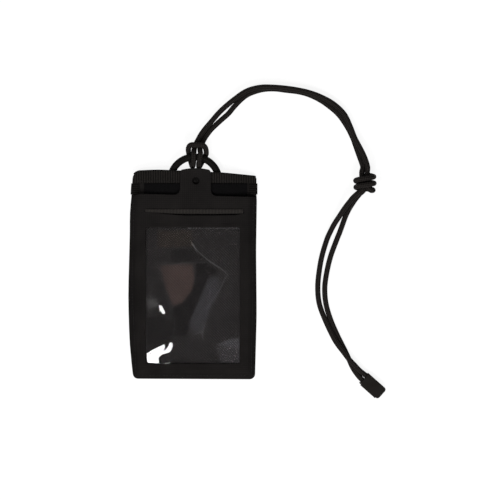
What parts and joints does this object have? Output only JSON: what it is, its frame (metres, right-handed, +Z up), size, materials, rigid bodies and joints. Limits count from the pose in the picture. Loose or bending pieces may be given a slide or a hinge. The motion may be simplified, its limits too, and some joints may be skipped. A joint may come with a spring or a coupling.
{
  "type": "document wallet",
  "caption": "Black fabric neck wallet with a clear ID window, a pull tab over a hook and loop mouth, a D-ring and a knotted neck cord.",
  "frame": {"origin": "On the surface, under the middle of the box round the wallet and its ring", "axes": "+X across the wallet, +Y from its bottom edge to its header, +Z up out of its window"},
  "size_m": [0.2318, 0.2826, 0.0206],
  "materials": {
    "shell_fabric": "matte woven",
    "grosgrain": "ribbed tape",
    "clear_film": "soft clear film",
    "lining_twill": "fine twill",
    "hook_and_loop": "brushed pile",
    "webbing": "matte woven",
    "ring_plastic": "satin moulded",
    "braided_cord": "braided",
    "clip_plastic": "smooth moulded"
  },
  "bodies": {
    "wallet": {"back_panel": "shell_fabric", "front_panel": "shell_fabric", "top_binding": "grosgrain", "side_binding_left": "grosgrain", "side_binding_right": "grosgrain", "slit_binding": "grosgrain", "window_pane": "clear_film", "pocket_lining": "lining_twill", "loop_strip": "hook_and_loop", "hook_strip": "hook_and_loop", "ring_keeper": "webbing", "lanyard_upper_outer": "braided_cord", "lanyard_upper_inner": "braided_cord", "lanyard_knot_wound": "braided_cord", "lanyard_knot_through": "braided_cord", "lanyard_lower_left": "braided_cord", "lanyard_lower_right": "braided_cord", "clip_base": "clip_plastic"},
    "tab": {"pull_tab": "shell_fabric"},
    "ring": {"d_ring": "ring_plastic", "lanyard_hitch": "braided_cord"},
    "lid": {"clip_lid": "clip_plastic"}
  },
  "joints": [
    {"name": "ring_tilt", "type": "hinge", "parent": "wallet", "child": "ring", "pos_m": [0.00185, 0.07717, 0.0041], "axis": [1, 0, 0], "range_deg": [-150, 0]},
    {"name": "tab_lift", "type": "hinge", "parent": "wallet", "child": "tab", "pos_m": [0.00025, 0.06972, 0.01169], "axis": [1, 0, 0], "range_deg": [0, 90]},
    {"name": "lid_open", "type": "hinge", "parent": "wallet", "child": "lid", "pos_m": [0.15836, -0.11218, 0.004], "axis": [0.7471, -0.6647, 0], "range_deg": [0, 130]}
  ]
}
